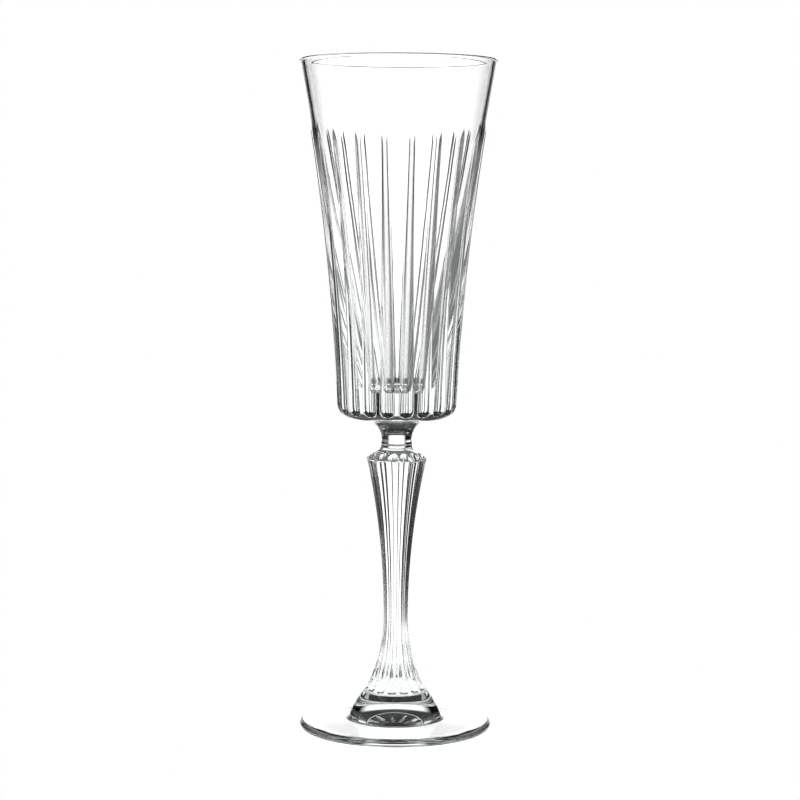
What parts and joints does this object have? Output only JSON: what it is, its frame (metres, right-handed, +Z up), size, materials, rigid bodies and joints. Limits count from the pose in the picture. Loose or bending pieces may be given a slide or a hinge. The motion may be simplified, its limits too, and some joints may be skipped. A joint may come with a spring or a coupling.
{
  "type": "champagne flute",
  "caption": "Tall stemmed drinking glass with a fluted tapering bowl on a heavy base, a fluted baluster stem and a round foot, in clear glass.",
  "frame": {"origin": "centre of the foot, on the surface the glass stands on", "axes": "+Z up along the glass's axis, from the foot to the rim; the front is -Y"},
  "size_m": [0.0708, 0.0708, 0.24],
  "materials": {
    "clear_glass": "colourless lead-free crystal, pressed and fire-polished, high gloss"
  },
  "bodies": {
    "root": {"bowl": "clear_glass", "stem": "clear_glass", "foot": "clear_glass"}
  },
  "joints": []
}
